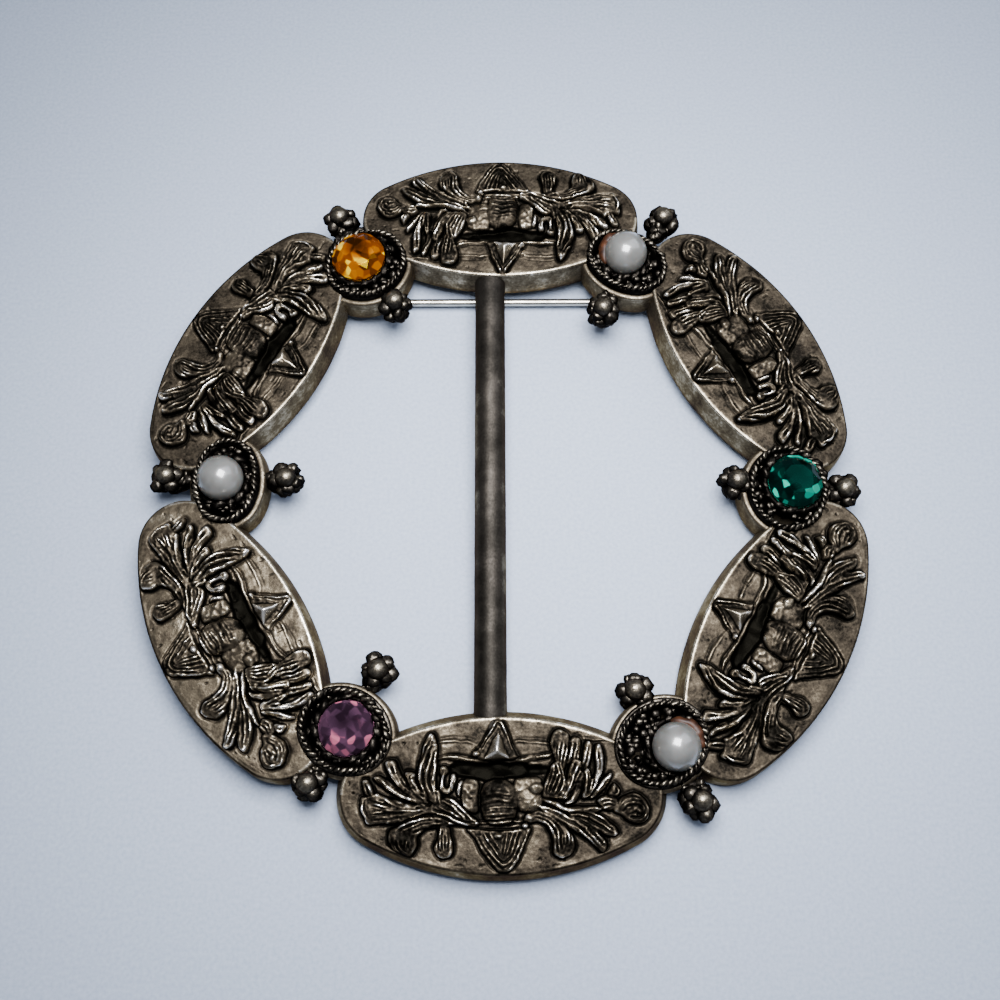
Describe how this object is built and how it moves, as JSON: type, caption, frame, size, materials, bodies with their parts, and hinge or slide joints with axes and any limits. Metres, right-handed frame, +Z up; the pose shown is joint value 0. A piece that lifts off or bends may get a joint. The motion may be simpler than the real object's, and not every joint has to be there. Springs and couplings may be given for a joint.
{
  "type": "thistle brooch",
  "caption": "Round cast brooch of oval plaques with raised thistle and leaf relief, joined by rope-edged cups with set stones, a bar across the middle and a hinged pin behind.",
  "frame": {"origin": "on the surface that the brooch lies on, under the middle of its ring", "axes": "+Z up off the surface, +Y to the ring's upper side where the pin is, +X to its right as seen from the front"},
  "size_m": [0.0676, 0.07, 0.0078],
  "materials": {
    "cast_pewter": "cast white metal with a dark antiqued patina and worn bright edges",
    "steel_wire": "bright drawn steel",
    "amber_glass": "faceted foil-backed glass",
    "green_glass": "faceted foil-backed glass",
    "purple_glass": "faceted foil-backed glass",
    "pearl": "lacquered imitation pearl"
  },
  "bodies": {
    "frame": {"frame": "cast_pewter", "hinge_rivet": "steel_wire", "amber_stone": "amber_glass", "green_stone": "green_glass", "purple_stone": "purple_glass", "pearl_upper_right": "pearl", "pearl_left": "pearl", "pearl_lower_right": "pearl"},
    "pin": {"pin_stem": "steel_wire"}
  },
  "joints": [
    {"name": "pin_hinge", "type": "hinge", "parent": "frame", "child": "pin", "pos_m": [0.02101, 0.02092, 0.001], "axis": [0, -0.9993, -0.0384], "range_deg": [0, 95]}
  ]
}
